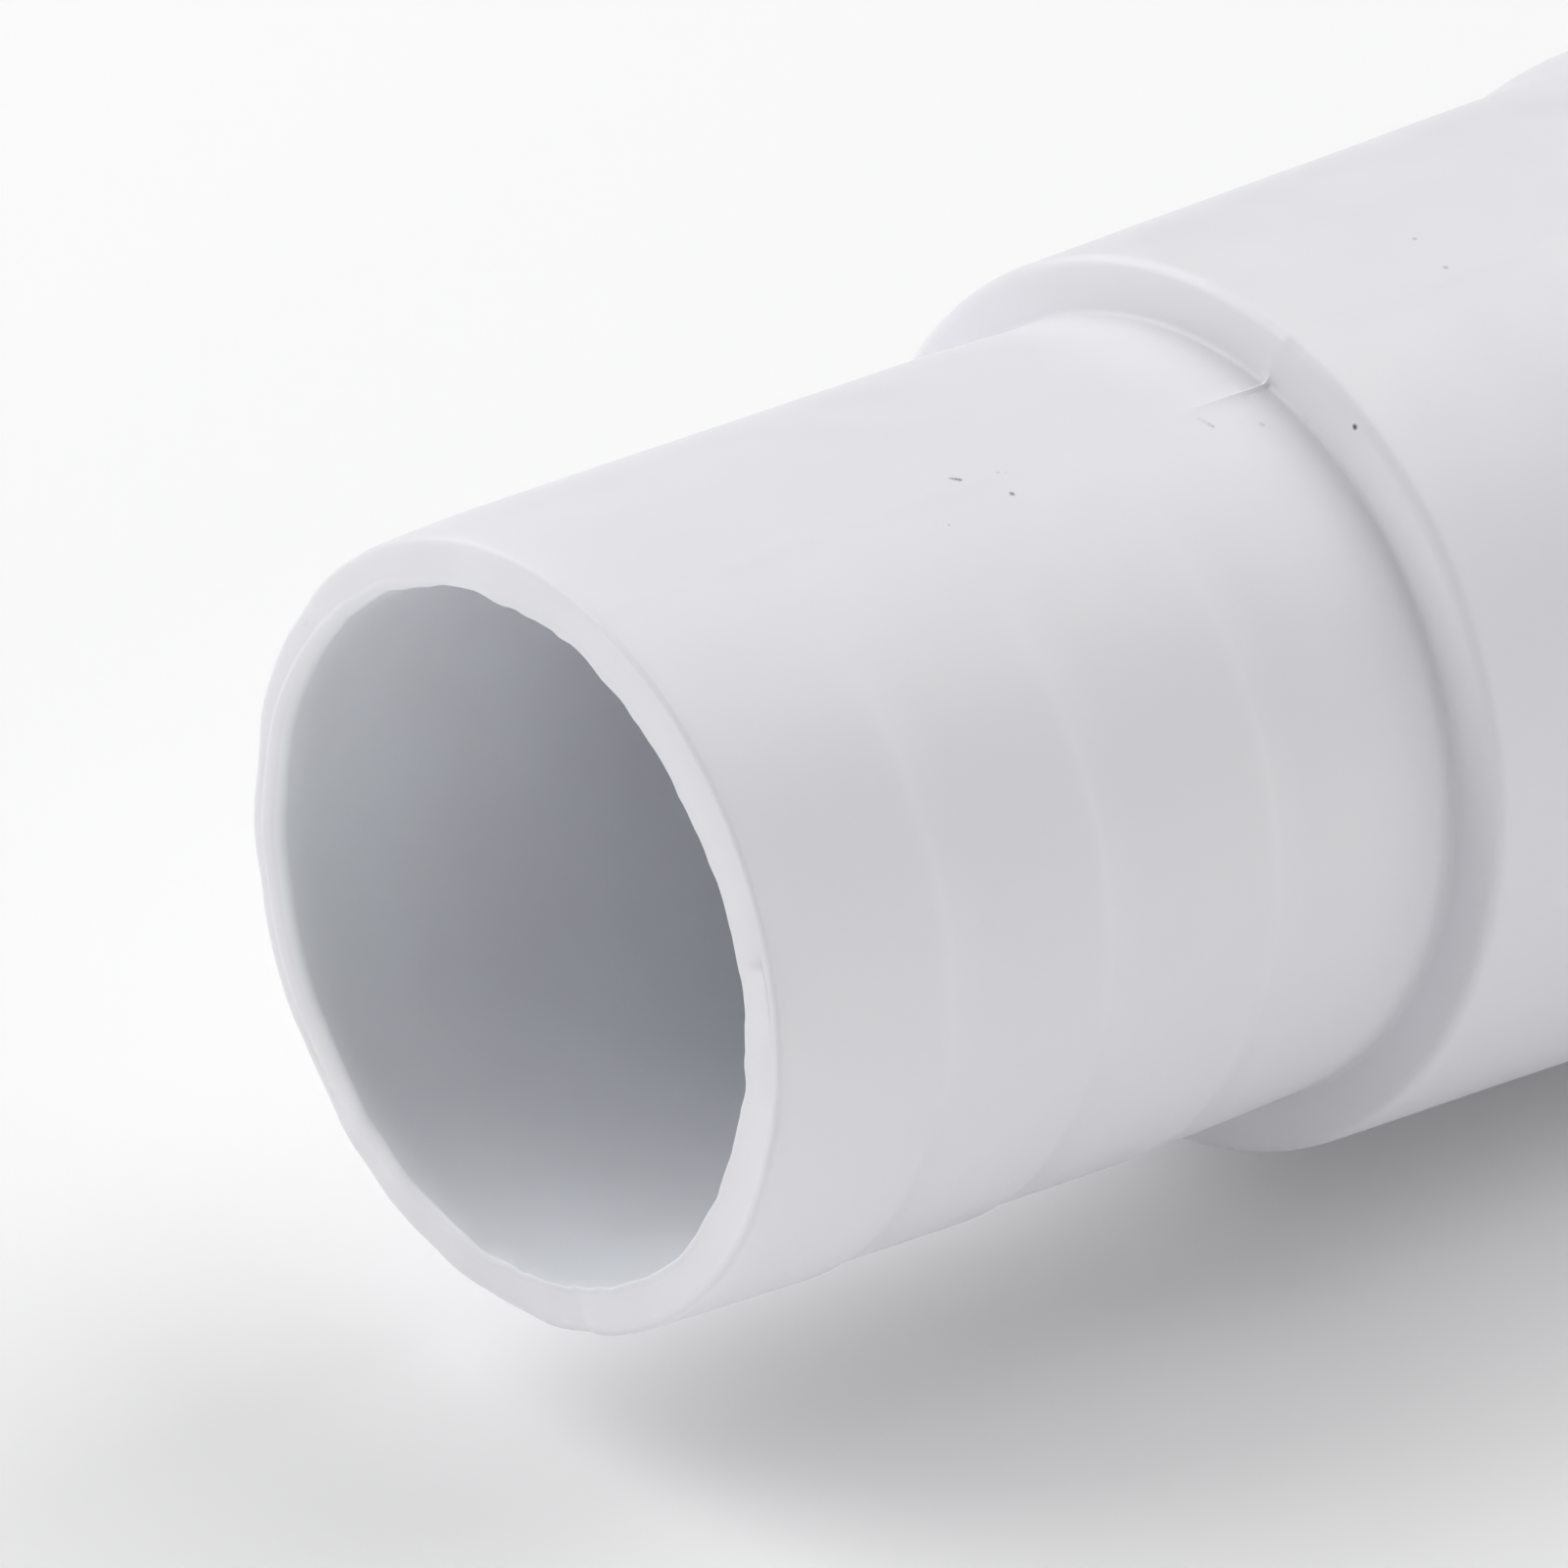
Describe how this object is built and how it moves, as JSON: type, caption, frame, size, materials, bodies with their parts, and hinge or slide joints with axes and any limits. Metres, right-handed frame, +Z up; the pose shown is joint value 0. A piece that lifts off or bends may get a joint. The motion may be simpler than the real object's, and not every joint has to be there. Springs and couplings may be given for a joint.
{
  "type": "pool hose section",
  "caption": "Straight corrugated suction hose section for a pool cleaner, with a barbed plain spigot and collar at one end and a plain socket at the other.",
  "frame": {"origin": "on the floor under the middle of the hose as it lies", "axes": "+X along the hose from the spigot to the socket, +Z up"},
  "size_m": [1, 0.052, 0.0518],
  "materials": {
    "white_plastic": "satin"
  },
  "bodies": {
    "root": {"hose": "white_plastic"}
  },
  "joints": []
}
